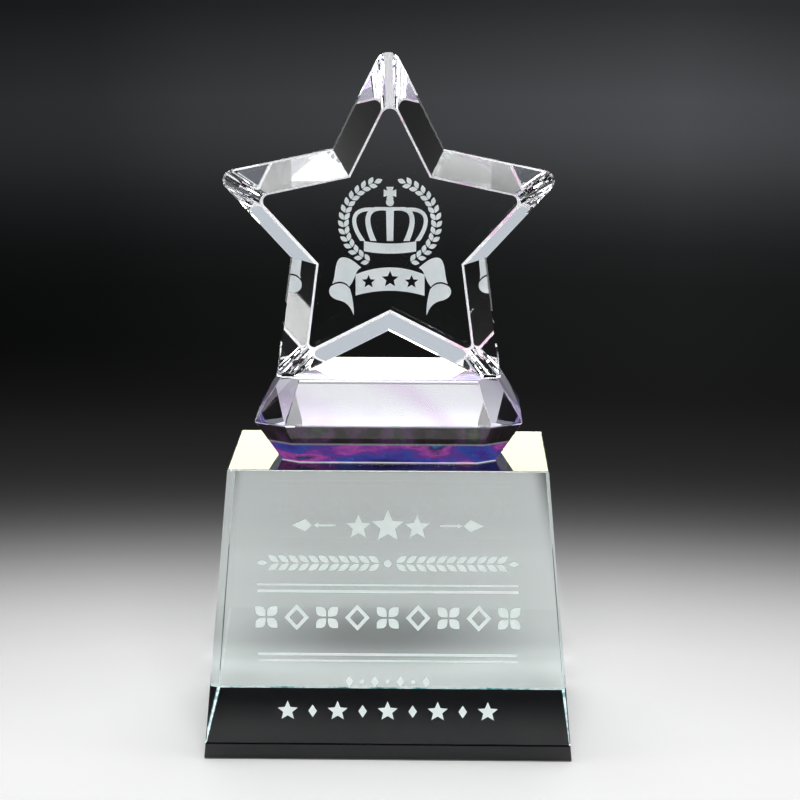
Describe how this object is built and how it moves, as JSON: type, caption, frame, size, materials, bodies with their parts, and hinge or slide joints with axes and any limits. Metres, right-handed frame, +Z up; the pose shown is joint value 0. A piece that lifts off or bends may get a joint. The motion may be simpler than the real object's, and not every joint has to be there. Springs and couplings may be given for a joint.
{
  "type": "star trophy",
  "caption": "Thick clear crystal star on a bevelled plinth and a tapered crystal block, with a black base plate and frosted ornament.",
  "frame": {"origin": "middle of the underside of the black base plate", "axes": "+Z up, +X to the right of a person facing the decorated side, +Y away from that person"},
  "size_m": [0.13, 0.071, 0.2456],
  "materials": {
    "star_glass": "polished",
    "plinth_glass": "polished",
    "block_glass": "polished",
    "black_crystal": "polished",
    "adhesive_black": "gloss",
    "adhesive_clear": "gloss",
    "film": "iridescent",
    "frost": "etched"
  },
  "bodies": {
    "root": {"base_plate": "black_crystal", "base_bond": "adhesive_black", "block_crystal": "block_glass", "plinth_bond": "adhesive_clear", "dichroic_film": "film", "plinth_crystal": "plinth_glass", "foot_bond_left": "adhesive_clear", "foot_bond_right": "adhesive_clear", "star_crystal": "star_glass", "crown_band": "frost", "crown_arches": "frost", "crown_cross": "frost", "laurel_left": "frost", "laurel_right": "frost", "ribbon_left": "frost", "ribbon_right": "frost", "ribbon_band": "frost", "rule_upper": "frost", "rule_lower": "frost", "finial_left": "frost", "finial_right": "frost", "title_stars": "frost", "sprig_row": "frost", "lozenge_row": "frost", "date_dots": "frost", "band_stars": "frost"}
  },
  "joints": []
}
